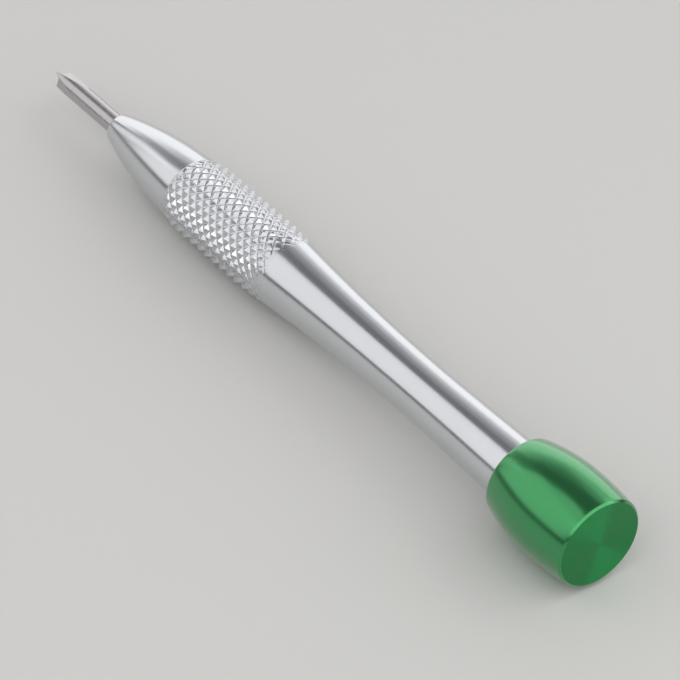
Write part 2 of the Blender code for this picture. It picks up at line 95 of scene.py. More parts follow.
# Name, azimuth and elevation in degrees, distance, width and height in metres, brightness
LAMPS = (
    # Broad bands on the near side of the nose, the handle and the cap
    ("left_softbox", 50.0, 35.0, 0.65, 0.66, 0.62, 0.76),
    ("tip_softbox", 13.0, 20.0, 0.65, 0.14, 0.34, 0.75),
    ("upper_softbox", 48.0, 67.0, 0.65, 0.33, 0.12, 0.76),
    # The bright line along the far side, and the greys between it and the bands
    ("back_softbox", -38.0, 15.0, 0.65, 0.94, 0.34, 1.0),
    ("back_fill", -44.0, 35.0, 0.7, 0.72, 0.17, 0.42),
    ("high_fill", -50.0, 49.0, 0.7, 0.50, 0.17, 0.14),
    ("cap_fill", -66.0, 45.0, 0.7, 0.26, 0.28, 0.2),
    ("tip_fill", -8.0, 34.0, 0.7, 0.28, 0.22, 0.12),
    # Light for the knurl's facets, the end face, the floor and the views from other sides
    ("rear_softbox", -101.0, 32.0, 0.7, 0.66, 0.50, 0.8),
    ("front_softbox", 108.0, 34.0, 0.75, 0.50, 0.60, 0.9),
    ("top_softbox", 180.0, 70.0, 0.65, 1.10, 0.44, 0.9),
    ("cap_softbox", -174.0, 28.0, 0.65, 1.30, 0.34, 1.2),
)


def along_axis(node):
    """Where a CAD node starts and ends along the axis, counted from the joint."""
    places = [AXIS.dot(vertex.co - PIVOT) for vertex in frame["nodes"][node].data.vertices]
    return min(places), max(places)


TIP = along_axis("blade")[0]
HANDLE_FRONT = along_axis("handle")[0] - TIP
CAP_FRONT = along_axis("swivel_cap")[0] - TIP
CAP_END = along_axis("swivel_cap")[1] - TIP
BEARING_FRONT = along_axis("bearing_outer_ring")[0] - TIP
BEARING_REAR = along_axis("bearing_outer_ring")[1] - TIP
SPIGOT_END = along_axis("handle")[1] - TIP
SHANK_END = along_axis("blade")[1] - TIP
SCREW_FRONT = along_axis("retaining_screw")[0] - TIP
SCREW_TOP = along_axis("retaining_screw")[1] - TIP
# Lays a piece in its place: its X points down, its Y across and its Z along the axis
DOWN = Vector((AXIS.z, 0.0, -AXIS.x))
LAY = Matrix.Translation(PIVOT + AXIS * TIP) @ Matrix((DOWN, (0, 1, 0), AXIS)).transposed().to_4x4()


def linear(code):
    """Linear colour of an sRGB hex value."""
    channels = []
    for place in (1, 3, 5):
        level = int(code[place:place + 2], 16) / 255
        channels.append(level / 12.92 if level <= 0.04045 else ((level + 0.055) / 1.055) ** 2.4)
    return (*channels, 1.0)


def length(name, description, millimetres):
    """A length that a user would change."""
    return FloatProperty(name=name, description=description, default=millimetres * MM, min=0.0,
                         precision=5, unit='LENGTH')


def colour(name, description, code):
    """A colour that a user would change."""
    return FloatVectorProperty(name=name, description=description, default=linear(code), size=4,
                               min=0.0, max=1.0, subtype='COLOR')


class HandleSizes(bpy.types.PropertyGroup):
    """Sizes and colour of the turned handle."""
    nose_length: length("Nose length", "From the front lip to the knurl", 16.4)
    nose_front: length("Nose front", "Diameter at the front lip", 3.9)
    nose_rear: length("Nose rear", "Diameter where the knurl starts", 9.28)
    nose_arc: length("Nose arc", "Radius of the nose's long curve", 64.0)
    nose_lip: length("Nose lip", "Rounding round the blade", 0.5)
    bore: length("Bore", "Diameter of the blade's hole", 2.78)
    knurl_diameter: length("Knurl diameter", "Over the crests", 10.24)
    knurl_depth: length("Knurl depth", "From crest to groove", 0.42)
    knurl_length: length("Knurl length", "From the nose to the last groove", 20.6)
    knurl_shoulder: length("Knurl shoulder", "Length of the step up to the knurl", 0.12)
    knurl_run_in: length("Knurl run-in", "Length over which the crests rise", 1.6)
    knurl_rounding: length("Knurl rounding", "How far the crests are softened", 0.12)
    right_starts: IntProperty(name="Right-hand starts", description="Right-hand grooves round the grip",
                              default=20, min=3)
    left_starts: IntProperty(name="Left-hand starts", description="Left-hand grooves round the grip",
                             default=18, min=3)
    right_pitch: length("Right-hand pitch", "Between right-hand grooves along the axis", 1.56)
    left_pitch: length("Left-hand pitch", "Between left-hand grooves along the axis", 1.437)
    knurl_turn: FloatProperty(name="Knurl turn", description="Angle of a crest at the knurl's start",
                              default=math.radians(5.7), subtype='ANGLE')
    waist: length("Waist", "Diameter at the narrowest place", 7.32)
    waist_share: FloatProperty(name="Waist share", description="Where the waist is narrowest, as a "
                               "share of the way from the knurl to the cap", default=0.58,
                               min=0.0, max=1.0, subtype='FACTOR')
    neck: length("Neck", "Diameter where the handle enters the cap", 7.92)
    neck_in_cap: length("Neck in cap", "How far the neck reaches into the cap", 1.2)
    neck_chamfer: length("Neck chamfer", "Round the neck's end", 0.2)
    boss: length("Boss", "Diameter of the step that carries the bearing", 4.0)
    spigot: length("Spigot", "Diameter inside the bearing", 2.92)
    screw_hole: length("Screw hole", "Diameter of the hole in the spigot", 2.08)
    hole_room: length("Hole room", "Between the screw's end and the bottom of its hole", 0.14)
    metal: colour("Metal", "Bright turned aluminium", "#D9DBDE")


class BladeSizes(bpy.types.PropertyGroup):
    """Sizes and colour of the fluted blade."""
    diameter: length("Diameter", "Of the round rod", 2.7)
    edge: length("Edge", "Chamfer round the end", 0.06)
    wing: length("Wing", "Thickness of a wing at its outer edge", 0.2)
    lean: FloatProperty(name="Lean", description="How far a wing's flank leans from its middle plane",
                        default=math.radians(9.0), subtype='ANGLE')
    flute_root: length("Flute root", "Rounding at the bottom of a flute", 0.12)
    flute: length("Flute", "Length to where a flute leaves the rod", 5.8)
    flats_length: length("Flats length", "Of the two flats on the shank", 7.0)
    flats_ramp: length("Flats ramp", "Run-in of the flats", 0.4)
    flats_across: length("Flats across", "Between the two flats", 2.2)
    wings: IntProperty(name="Wings", description="Wings round the tip", default=3, min=3)
    turn: FloatProperty(name="Turn", description="Angle of the first wing round the axis",
                        default=math.radians(94.0), subtype='ANGLE')
    metal: colour("Metal", "Warm grey tool steel", "#C3BFC0")


class CapSizes(bpy.types.PropertyGroup):
    """Sizes and colour of the barrel cap."""
    front: length("Front", "Diameter at the front lip", 10.5)
    belly: length("Belly", "Largest diameter", 12.87)
    belly_at: length("Belly at", "From the front to the largest diameter", 8.0)
    end: length("End", "Diameter at the end face", 12.0)
    chamfer: length("Chamfer", "Round the end face", 0.28)
    softening: length("Softening", "Rounding of the chamfer's two edges", 0.06)
    lip: length("Lip", "Rounding of the front lip", 0.6)
    opening: length("Opening", "Diameter round the neck", 8.2)
    seat: length("Seat", "Diameter of the bearing's seat", 8.08)
    shoulder: length("Shoulder", "Diameter behind the bearing", 6.68)
    head_room: length("Head room", "Behind the screw's head", 0.9)
    running_gap: length("Running gap", "Between neck and cap", 0.14)
    seat_gap: length("Seat gap", "Round the bearing", 0.04)
    dye: colour("Dye", "Green anodised aluminium", "#279851")


class BearingSizes(bpy.types.PropertyGroup):
    """Sizes of the bearing's balls and colours of the inner pieces."""
    ball: length("Ball", "Diameter of a ball", 1.588)
    pitch: length("Pitch circle", "Diameter through the balls", 5.5)
    balls: IntProperty(name="Balls", description="Balls in the bearing", default=7, min=3)
    steel: colour("Bearing steel", "Ground and polished chrome steel", "#C4C6CA")
    sheet: colour("Sheet steel", "Pressed shields and cage", "#BCB8B0")
    spring: colour("Spring steel", "Snap rings", "#8E9096")
    zinc: colour("Zinc", "Bright zinc plating", "#CACBC8")


class StageSizes(bpy.types.PropertyGroup):
    """Floor, light and camera."""
    floor: colour("Floor", "Pale board", "#D2D1CE")
    floor_reach: length("Floor reach", "From the floor's middle to its sides", 3000.0)
    room: colour("Room", "Grey of the room", "#7A7A7C")
    softbox: FloatProperty(name="Softbox", description="Brightness of the soft lights, where 1 is "
                           "white", default=1.1, min=0.0)
    aim: FloatVectorProperty(name="Aim", description="Point that the camera looks at", size=3,
                             default=(8.79 * MM, -2.63 * MM, 6.0 * MM), subtype='XYZ', unit='LENGTH')
    distance: length("Distance", "From the camera to its aim", 527.98)
    azimuth: FloatProperty(name="Azimuth", description="Camera's turn round the tool",
                           default=math.radians(50.6), subtype='ANGLE')
    elevation: FloatProperty(name="Elevation", description="Camera's height over the floor",
                             default=math.radians(40.1), subtype='ANGLE')
    roll: FloatProperty(name="Roll", description="Camera's lean", default=math.radians(3.79),
                        subtype='ANGLE')
    lens: FloatProperty(name="Lens", description="Focal length on a 36 mm sensor", default=231.19,
                        min=1.0, unit='CAMERA')


def add_node(tree, kind, settings=None, inputs=None):
    """Add a node, set its properties, and give its inputs values or links."""
    node = tree.nodes.new(kind)
    for name, value in (settings or {}).items():
        setattr(node, name, value)
    for place, value in (inputs or {}).items():
        if isinstance(value, bpy.types.Node):
            value = value.outputs[0]
        if isinstance(value, bpy.types.NodeSocket):
            tree.links.new(value, node.inputs[place])
        else:
            node.inputs[place].default_value = value
    return node


def new_finish(name):
    """An empty material and its node tree."""
    material = bpy.data.materials.new(name)
    material.use_nodes = True
    material.node_tree.nodes.clear()
    return material, material.node_tree


def deeper(tone, share):
    """A tone with only that share of its brightness."""
    return [channel * share for channel in tone[:3]] + [1.0]


def turned_metal(name, tone, roughness, spread, feed, mark, anisotropy, coat=0.0):
    """Metal off a lathe: the tool's fine spiral runs round it, so lights draw out along the axis.

    Feed is the distance between marks in metres. A real finishing cut leaves about 0.05 mm, which
    is too fine to show, so callers give it as coarse as the picture needs. Spread is how far the
    roughness wanders, and mark is the depth of the spiral in metres. Coat is 1 under a clear oxide,
    which is smoother than the cut and mirrors lights in their own colour.
    """
    material, tree = new_finish(name)
    skin = add_node(tree, "ShaderNodeUVMap", {"uv_map": UV_NAME})
    parts = add_node(tree, "ShaderNodeSeparateXYZ", inputs={0: skin})
    count = add_node(tree, "ShaderNodeMath", {"operation": 'MULTIPLY'}, {0: parts, 1: 1.0 / feed})
    marks = add_node(tree, "ShaderNodeTexNoise", {"noise_dimensions": '1D'},
                     {"W": count, "Scale": 1.0, "Detail": 3.0, "Roughness": 0.6})
    place = add_node(tree, "ShaderNodeTexCoord")
    # Handling leaves faint cloudy patches about this wide
    patch = 6.0 * MM
    cloud = add_node(tree, "ShaderNodeTexNoise", inputs={
        "Vector": place.outputs["Object"], "Scale": 1.0 / patch, "Detail": 3.0})
    both = add_node(tree, "ShaderNodeMath", {"operation": 'ADD'},
                    {0: marks.outputs["Fac"], 1: cloud.outputs["Fac"]})
    rough = add_node(tree, "ShaderNodeMapRange", inputs={
        "Value": both, "From Min": 0.6, "From Max": 1.4,
        "To Min": roughness - spread, "To Max": roughness + spread})
    bump = add_node(tree, "ShaderNodeBump", inputs={
        "Strength": 1.0, "Distance": mark, "Height": marks.outputs["Fac"]})
    tangent = add_node(tree, "ShaderNodeTangent", {"direction_type": 'UV_MAP', "uv_map": UV_NAME})
    shade = add_node(tree, "ShaderNodeMix", {"data_type": 'RGBA'},
                     {0: cloud.outputs["Fac"], 6: deeper(tone, PATCH_SHARE), 7: tone})
    shader = add_node(tree, "ShaderNodeBsdfPrincipled", inputs={
        "Base Color": shade.outputs[2], "Metallic": 1.0, "Roughness": rough,
        "Anisotropic": anisotropy, "Normal": bump, "Tangent": tangent,
        "Coat Weight": coat, "Coat Roughness": 0.18, "Coat IOR": 1.6})
    add_node(tree, "ShaderNodeOutputMaterial", inputs={"Surface": shader})
    return material


def grained_metal(name, tone, roughness, spread, grain, mark):
    """Metal with no direction: a fine grain dulls the light a little from place to place.

    Grain is the width of a speck in metres and mark its depth. Real specks are a few hundredths of a
    millimetre wide, too fine to show, so callers give them as coarse as the picture needs.
    """
    material, tree = new_finish(name)
    place = add_node(tree, "ShaderNodeTexCoord")
    specks = add_node(tree, "ShaderNodeTexNoise", inputs={
        "Vector": place.outputs["Object"], "Scale": 1.0 / grain, "Detail": 2.0, "Roughness": 0.5})
    rough = add_node(tree, "ShaderNodeMapRange", inputs={
        "Value": specks.outputs["Fac"], "From Min": 0.3, "From Max": 0.7,
        "To Min": roughness - spread, "To Max": roughness + spread})
    bump = add_node(tree, "ShaderNodeBump", inputs={
        "Strength": 1.0, "Distance": mark, "Height": specks.outputs["Fac"]})
    shade = add_node(tree, "ShaderNodeMix", {"data_type": 'RGBA'},
                     {0: specks.outputs["Fac"], 6: deeper(tone, SPECK_SHARE), 7: tone})
    shader = add_node(tree, "ShaderNodeBsdfPrincipled", inputs={
        "Base Color": shade.outputs[2], "Metallic": 1.0, "Roughness": rough, "Normal": bump})
    add_node(tree, "ShaderNodeOutputMaterial", inputs={"Surface": shader})
    return material


def sweep(centre, first, last, steps):
    """Points on the circle about a centre, from first round to last."""
    start, end = first - centre, last - centre
    points = []
    for step in range(steps + 1):
        points.append(tuple(centre + start.slerp(end, step / steps).normalized() * start.length))
    return points


def fillet(before, corner, after, radius, steps=LIP_STEPS):
    """Points of a rounding that replaces the corner between two straight stretches."""
    corner = Vector(corner)
    back, ahead = Vector(before) - corner, Vector(after) - corner
    half = back.angle(ahead) / 2
    reach = min(radius / math.tan(half), FILLET_SHARE * back.length, FILLET_SHARE * ahead.length)
    back.normalize()
    ahead.normalize()
    centre = corner + (back + ahead).normalized() * reach / math.cos(half)
    return sweep(centre, corner + back * reach, corner + ahead * reach, steps)


def arc_between(first, last, radius, steps):
    """Points of an arc from first to last that bulges away from the axis."""
    first, last = Vector(first), Vector(last)
    chord = last - first
    outward = Vector((chord.y, -chord.x)).normalized()
    if outward.x < 0:
        outward = -outward
    half = chord.length / 2
    centre = (first + last) / 2 - outward * math.sqrt(radius * radius - half * half)
    return sweep(centre, first, last, steps)


def crown(peak, edge, steps):
    """Points from a peak to an edge on the arc that is level at the peak."""
    drop, run = peak[0] - edge[0], edge[1] - peak[1]
    radius = (run * run + drop * drop) / (2 * drop)
    sweep_angle = math.asin(abs(run) / radius)
    points = []
    for step in range(steps + 1):
        angle = sweep_angle * step / steps
        points.append((peak[0] - radius * (1 - math.cos(angle)),
                       peak[1] + math.copysign(radius * math.sin(angle), run)))
    return points


def turn(profile, steps, phase=0.0, gap=None, twist=0.0):
    """Turn a profile of (radius, z) points about Z into a skin that is closed on the axis.

    A radius may be a rule of the angle. The UV map runs along the profile in U, in metres, and
    round the turn in V. Nothing spans the gap behind the ring with that number, and the rings after
    it are turned on by the twist, in steps.
    """
    shape = bmesh.new()
    skin = shape.loops.layers.uv.new(UV_NAME)
    starts = [phase if gap is None or row <= gap else phase + twist for row in range(len(profile))]
    rings, runs, before = [], [], None
    for start, (radius, z) in zip(starts, profile):
        ring = []
        for step in range(steps):
            angle = 2 * math.pi * (step + start) / steps
            here = radius(angle) if callable(radius) else radius
            if here == 0 and ring:
                ring.append(ring[0])
            else:
                ring.append(shape.verts.new((here * math.cos(angle), here * math.sin(angle), z)))
        mark = Vector((ring[0].co.xy.length, z))
        runs.append(runs[-1] + (mark - before).length if runs else 0.0)
        before = mark
        rings.append(ring)
    for row, (low, high) in enumerate(zip(rings, rings[1:])):
        for step in range(steps if row != gap else 0):
            after = (step + 1) % steps
            points = []
            for corner in ((low[step], row, step), (low[after], row, step + 1),
                           (high[after], row + 1, step + 1), (high[step], row + 1, step)):
                if corner[0] not in [point[0] for point in points]:
                    points.append(corner)
            face = shape.faces.new([point[0] for point in points])
            for loop, point in zip(face.loops, points):
                loop[skin].uv = (runs[point[1]], (point[2] + starts[point[1]]) / steps)
    bmesh.ops.recalc_face_normals(shape, faces=shape.faces[:])
    return shape


def add_thing(name, shape):
    """Wrap a bmesh as an object at the origin."""
    mesh = bpy.data.meshes.new(name)
    shape.to_mesh(mesh)
    shape.free()
    thing = bpy.data.objects.new(name, mesh)
    bpy.context.scene.collection.objects.link(thing)
    return thing


def settle(thing):
    """Turn what the modifiers show into a plain mesh, lay it on the tool's axis and shade it."""
    graph = bpy.context.evaluated_depsgraph_get()
    mesh = bpy.data.meshes.new_from_object(thing.evaluated_get(graph),
                                           preserve_all_data_layers=True, depsgraph=graph)
    thing.modifiers.clear()
    thing.data = mesh
    mesh.name = thing.name
    mesh.transform(LAY)
    mesh.shade_smooth()
    mesh.set_sharp_from_angle(angle=CRISP_ANGLE)


def waist_arc_of(sizes, knurl_rear):
    """Where the waist is narrowest, and the radius of the long arc that leads there from the knurl."""
    narrow = knurl_rear + sizes.waist_share * (CAP_FRONT - knurl_rear)
    drop = sizes.knurl_diameter / 2 - sizes.knurl_depth - sizes.waist / 2
    run = narrow - knurl_rear
    return narrow, (run * run + drop * drop) / (2 * drop)


def waist_radius(sizes, knurl_rear, z):
    """Handle radius behind the knurl: an arc down to the waist, then an eased rise to the neck."""
    narrow, arc = waist_arc_of(sizes, knurl_rear)
    waist = sizes.waist / 2
    if z <= narrow:
        return waist + arc - math.sqrt(arc * arc - (narrow - z) ** 2)
    share = (z - narrow) / (CAP_FRONT - narrow)
    return waist + (sizes.neck / 2 - waist) * share * share * (3 - 2 * share)


def new_tree(name, inputs):
    """An empty geometry tree with named inputs, their sockets, and each input's identifier."""
    tree = bpy.data.node_groups.new(name, 'GeometryNodeTree')
    tree.is_modifier = True
    tree.interface.new_socket("Geometry", in_out='INPUT', socket_type='NodeSocketGeometry')
    tree.interface.new_socket("Geometry", in_out='OUTPUT', socket_type='NodeSocketGeometry')
    places = {}
    for label, kind in inputs.items():
        places[label] = tree.interface.new_socket(label, in_out='INPUT', socket_type=kind).identifier
    return tree, add_node(tree, "NodeGroupInput").outputs, places


def knurl_tree():
    """A sleeve of pyramids between two crossing sets of spiral vee grooves.

    The sleeve starts as a flat grid with a crest or a groove crossing at each whole step, X round the
    grip and Y along it. Its rows climb as they go round, since the two hands differ, and its ends are
    drawn to the rings in front and behind. Where the waist is thinner, the grooves run out on it.
    """
    number, count, finish = 'NodeSocketFloat', 'NodeSocketInt', 'NodeSocketMaterial'
    tree, given, places = new_tree("pyramid_knurl", {
        "Front": number, "Length": number, "Run-in": number, "Right Starts": count,
        "Left Starts": count, "Right Pitch": number, "Left Pitch": number, "Turn": number,
        "Crest Radius": number, "Depth": number, "Rounding": number, "Waist Arc": number,
        "Waist Place": number, "Waist Centre": number, "Smooth Finish": finish, "Knurl Finish": finish})
    flank = 1.0 - KNURL_BLUNT / KNURL_STEPS
    # A name, an operation and its values, which are numbers, inputs, names from further up, or X and Y,
    # a point's place on the flat grid
    sums = (
        ("columns", 'ADD', "Right Starts", "Left Starts"),
        ("drift", 'SUBTRACT', "Right Starts", "Left Starts"),
        ("right rate", 'DIVIDE', 1.0, "Right Pitch"),
        ("left rate", 'DIVIDE', 1.0, "Left Pitch"),
        ("rise", 'ADD', "right rate", "left rate"),
        ("lean", 'SUBTRACT', "right rate", "left rate"),
        ("rise in all", 'MULTIPLY', "columns", "rise"),
        ("lean in all", 'MULTIPLY', "drift", "lean"),
        ("scale", 'SUBTRACT', "rise in all", "lean in all"),
        # The flat grid: rows enough for the length and the climb, its points and its middle
        ("row rate", 'DIVIDE', "scale", "columns"),
        ("length in rows", 'MULTIPLY', "Length", "row rate"),
        ("rows needed", 'ADD', "length in rows", "drift"),
        ("rows", 'CEIL', "rows needed"),
        ("points round", 'MULTIPLY_ADD', "columns", KNURL_STEPS, 1.0),
        ("points along", 'MULTIPLY_ADD', "rows", KNURL_STEPS, 1.0),
        ("half round", 'MULTIPLY', "columns", 0.5),
        ("half along", 'MULTIPLY', "rows", 0.5),
        # Each cell is folded along its groove, which changes sides from one whole step to the next
        ("column", 'FLOOR', "X"),
        ("row", 'FLOOR', "Y"),
        ("cell", 'ADD', "column", "row"),
        ("odd", 'FLOORED_MODULO', "cell", 2.0),
        ("even", 'SUBTRACT', 1.0, "odd"),
        # Where a point comes to lie along the axis and round it
        ("along", 'MULTIPLY', "columns", "Y"),
        ("fallen back", 'MULTIPLY', "drift", "X"),
        ("climb", 'SUBTRACT', "along", "fallen back"),
        ("free run", 'DIVIDE', "climb", "scale"),
        ("held run", 'MINIMUM', "free run", "Length"),
        ("run", 'MAXIMUM', "held run", 0.0),
        ("z", 'ADD', "run", "Front"),
        ("leant", 'MULTIPLY', "lean", "run"),
        ("columns round", 'SUBTRACT', "X", "leant"),
        ("turns", 'DIVIDE', "columns round", "columns"),
        ("angle", 'MULTIPLY_ADD', "turns", 2 * math.pi, "Turn"),
        # How far it is from a crest, from 0 there to 1 at the bottom of the nearer groove
        ("right", 'ADD', "X", "Y"),
        ("left", 'SUBTRACT', "X", "Y"),
        ("off right", 'PINGPONG', "right", 1.0),
        ("off left", 'PINGPONG', "left", 1.0),
        ("off", 'MAXIMUM', "off right", "off left"),
        # The rolls have blunt edges, so the facets at a groove's bottom lean less than its flanks
        ("off on flank", 'MINIMUM', "off", flank),
        ("fall", 'DIVIDE', "off on flank", flank),
        # A softened crest loses a sixth of its rounding, so the pyramids start that much higher
        ("lost", 'DIVIDE', "Rounding", 6.0),
        ("apex", 'ADD', "Crest Radius", "lost"),
        ("deep", 'ADD', "Depth", "lost"),
        ("fallen", 'MULTIPLY', "fall", "deep"),
        ("pyramid", 'SUBTRACT', "apex", "fallen"),
        # The bar under the rolls: a ramp up to the crests in front, and the waist's arc behind
        ("offset", 'SUBTRACT', "Waist Place", "z"),
        ("offset squared", 'MULTIPLY', "offset", "offset"),
        ("arc squared", 'MULTIPLY', "Waist Arc", "Waist Arc"),
        ("height squared", 'SUBTRACT', "arc squared", "offset squared"),
        ("height", 'SQRT', "height squared"),
        ("waist", 'SUBTRACT', "Waist Centre", "height"),
        ("root", 'SUBTRACT', "Crest Radius", "Depth"),
        ("ramp", 'DIVIDE', "run", "Run-in"),
        ("ramped", 'MULTIPLY_ADD', "ramp", "deep", "root"),
        ("front bar", 'MINIMUM', "ramped", "apex"),
        ("bar", 'MINIMUM', "waist", "front bar"),
        # The softening ends with the sleeve, so that its ends close on the rings in front and behind
        ("run left", 'SUBTRACT', "Length", "run"),
        ("to end", 'MINIMUM', "run", "run left"),
        ("soft", 'MINIMUM', "Rounding", "to end"),
        ("radius", 'SMOOTH_MIN', "pyramid", "bar", "soft"),
        ("cosine", 'COSINE', "angle"),
        ("sine", 'SINE', "angle"),
        ("x", 'MULTIPLY', "radius", "cosine"),
        ("y", 'MULTIPLY', "radius", "sine"),
    )
    spot = add_node(tree, "GeometryNodeInputPosition")
    flat = add_node(tree, "ShaderNodeSeparateXYZ", inputs={0: spot})
    known = {socket.name: socket for socket in (*given, *flat.outputs)}
    for name, operation, *values in sums:
        known[name] = add_node(tree, "ShaderNodeMath", {"operation": operation},
                               {place: known.get(value, value) for place, value in enumerate(values)})
    grid = add_node(tree, "GeometryNodeMeshGrid", inputs={
        "Size X": known["columns"], "Size Y": known["rows"],
        "Vertices X": known["points round"], "Vertices Y": known["points along"]})
    corner = add_node(tree, "ShaderNodeCombineXYZ", inputs={
        0: known["half round"], 1: known["half along"]})
    cells = add_node(tree, "GeometryNodeTransform", inputs={"Geometry": grid, "Translation": corner})
    half_folded = add_node(tree, "GeometryNodeTriangulate", {"quad_method": 'FIXED'},
                           {0: cells, "Selection": known["odd"]})
    folded = add_node(tree, "GeometryNodeTriangulate", {"quad_method": 'FIXED_ALTERNATE'},
                      {0: half_folded, "Selection": known["even"]})
    target = add_node(tree, "ShaderNodeCombineXYZ", inputs={
        0: known["x"], 1: known["y"], 2: known["z"]})
    wrapped = add_node(tree, "GeometryNodeSetPosition", inputs={"Geometry": folded, "Position": target})
    rolled = add_node(tree, "GeometryNodeSetMaterial", inputs={
        "Geometry": wrapped, "Material": given["Knurl Finish"]})
    smooth = add_node(tree, "GeometryNodeSetMaterial", inputs={
        "Geometry": given["Geometry"], "Material": given["Smooth Finish"]})
    both = add_node(tree, "GeometryNodeJoinGeometry", inputs={"Geometry": smooth})
    tree.links.new(rolled.outputs[0], both.inputs[0])
    whole = add_node(tree, "GeometryNodeMergeByDistance", inputs={"Geometry": both, "Distance": WELD})
    add_node(tree, "NodeGroupOutput", inputs={"Geometry": whole})
    return tree, places


def ball_tree():
    """Balls spaced evenly round a pitch circle."""
    tree, given, places = new_tree("ball_row", {
        "Balls": 'NodeSocketInt', "Pitch Radius": 'NodeSocketFloat', "Ball Radius": 'NodeSocketFloat',
        "Middle": 'NodeSocketFloat', "Finish": 'NodeSocketMaterial'})
    circle = add_node(tree, "GeometryNodeMeshCircle", inputs={
        "Vertices": given["Balls"], "Radius": given["Pitch Radius"]})
    ball = add_node(tree, "GeometryNodeMeshUVSphere", inputs={
        "Segments": BALL_STEPS, "Rings": BALL_STEPS // 2, "Radius": given["Ball Radius"]})
    row = add_node(tree, "GeometryNodeInstanceOnPoints", inputs={"Points": circle, "Instance": ball})
    offset = add_node(tree, "ShaderNodeCombineXYZ", inputs={2: given["Middle"]})
    seated = add_node(tree, "GeometryNodeTransform", inputs={"Geometry": row, "Translation": offset})
    real = add_node(tree, "GeometryNodeRealizeInstances", inputs={"Geometry": seated})
    finish = add_node(tree, "GeometryNodeSetMaterial", inputs={
        "Geometry": real, "Material": given["Finish"]})
    add_node(tree, "NodeGroupOutput", inputs={"Geometry": finish})
    return tree, places


def add_tree(thing, tree, places, values):
    """Put a geometry tree on an object and set its inputs."""
    modifier = thing.modifiers.new(tree.name, 'NODES')
    modifier.node_group = tree
    for label, value in values.items():
        modifier[places[label]] = value


class SCREWDRIVER_OT_handle(bpy.types.Operator):
    """Turn the aluminium handle and roll its pyramid knurl"""
    bl_idname = "screwdriver.handle"
    bl_label = "Knurled handle"

    def execute(self, context):
        sizes = context.scene.screwdriver_handle
        knurl_front = HANDLE_FRONT + sizes.nose_length
        knurl_rear = knurl_front + sizes.knurl_length
        knurl_start = knurl_front + sizes.knurl_shoulder
        root = sizes.knurl_diameter / 2 - sizes.knurl_depth
        bore = sizes.bore / 2
        corner = (sizes.nose_front / 2, HANDLE_FRONT)
        nose = arc_between(corner, (sizes.nose_rear / 2, knurl_front), sizes.nose_arc, NOSE_STEPS)
        profile = [(0, SHANK_END), (bore, SHANK_END), (bore, HANDLE_FRONT)]
        # The lip's rounding takes the place of the nose's first points
        profile += fillet(profile[-1], corner, nose[2], sizes.nose_lip) + nose[2:]
        profile.append((root, knurl_start))
        gap = len(profile) - 1
        for step in range(REAR_STEPS + 1):
            z = knurl_rear + (CAP_FRONT - knurl_rear) * step / REAR_STEPS
            profile.append((waist_radius(sizes, knurl_rear, z), z))
        neck_end = CAP_FRONT + sizes.neck_in_cap
        neck = sizes.neck / 2
        hole_bottom = SCREW_FRONT - sizes.hole_room
        profile += [(neck, neck_end - sizes.neck_chamfer), (neck - sizes.neck_chamfer, neck_end),
                    (sizes.boss / 2, neck_end), (sizes.boss / 2, BEARING_FRONT),
                    (sizes.spigot / 2, BEARING_FRONT), (sizes.spigot / 2, SPIGOT_END),
                    (sizes.screw_hole / 2, SPIGOT_END), (sizes.screw_hole / 2, hole_bottom),
                    (0, hole_bottom)]
        steps = (sizes.right_starts + sizes.left_starts) * KNURL_STEPS
        phase = sizes.knurl_turn * steps / (2 * math.pi)
        # Behind the knurl the rings line up with the sleeve's last row
        lean = 1 / sizes.left_pitch - 1 / sizes.right_pitch
        twist = lean * (knurl_rear - knurl_start) * KNURL_STEPS
        bar = add_thing("knurled_handle", turn(profile, steps, phase, gap, twist))
        # Finish-turned aluminium: bright, with lights drawn out along the axis
        smooth = turned_metal("turned_aluminium", sizes.metal, roughness=0.2, spread=0.03,
                              feed=0.3 * MM, mark=0.0012 * MM, anisotropy=0.5)
        # Rolled knurl in the same bar: hard bright facets with a fine grain
        rolled = grained_metal("knurled_aluminium", sizes.metal, roughness=0.24, spread=0.05,
                               grain=0.3 * MM, mark=0.006 * MM)
        narrow, waist_arc = waist_arc_of(sizes, knurl_rear)
        tree, places = knurl_tree()
        add_tree(bar, tree, places, {
            "Front": knurl_start, "Length": knurl_rear - knurl_start, "Run-in": sizes.knurl_run_in,
            "Right Starts": sizes.right_starts, "Left Starts": sizes.left_starts,
            "Right Pitch": sizes.right_pitch, "Left Pitch": sizes.left_pitch, "Turn": sizes.knurl_turn,
            "Crest Radius": sizes.knurl_diameter / 2, "Depth": sizes.knurl_depth,
            "Rounding": sizes.knurl_rounding, "Waist Arc": waist_arc, "Waist Place": narrow,
            "Waist Centre": sizes.waist / 2 + waist_arc,
            "Smooth Finish": smooth, "Knurl Finish": rolled})
        settle(bar)
        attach(bar, "handle")
        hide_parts("handle")
        return {'FINISHED'}


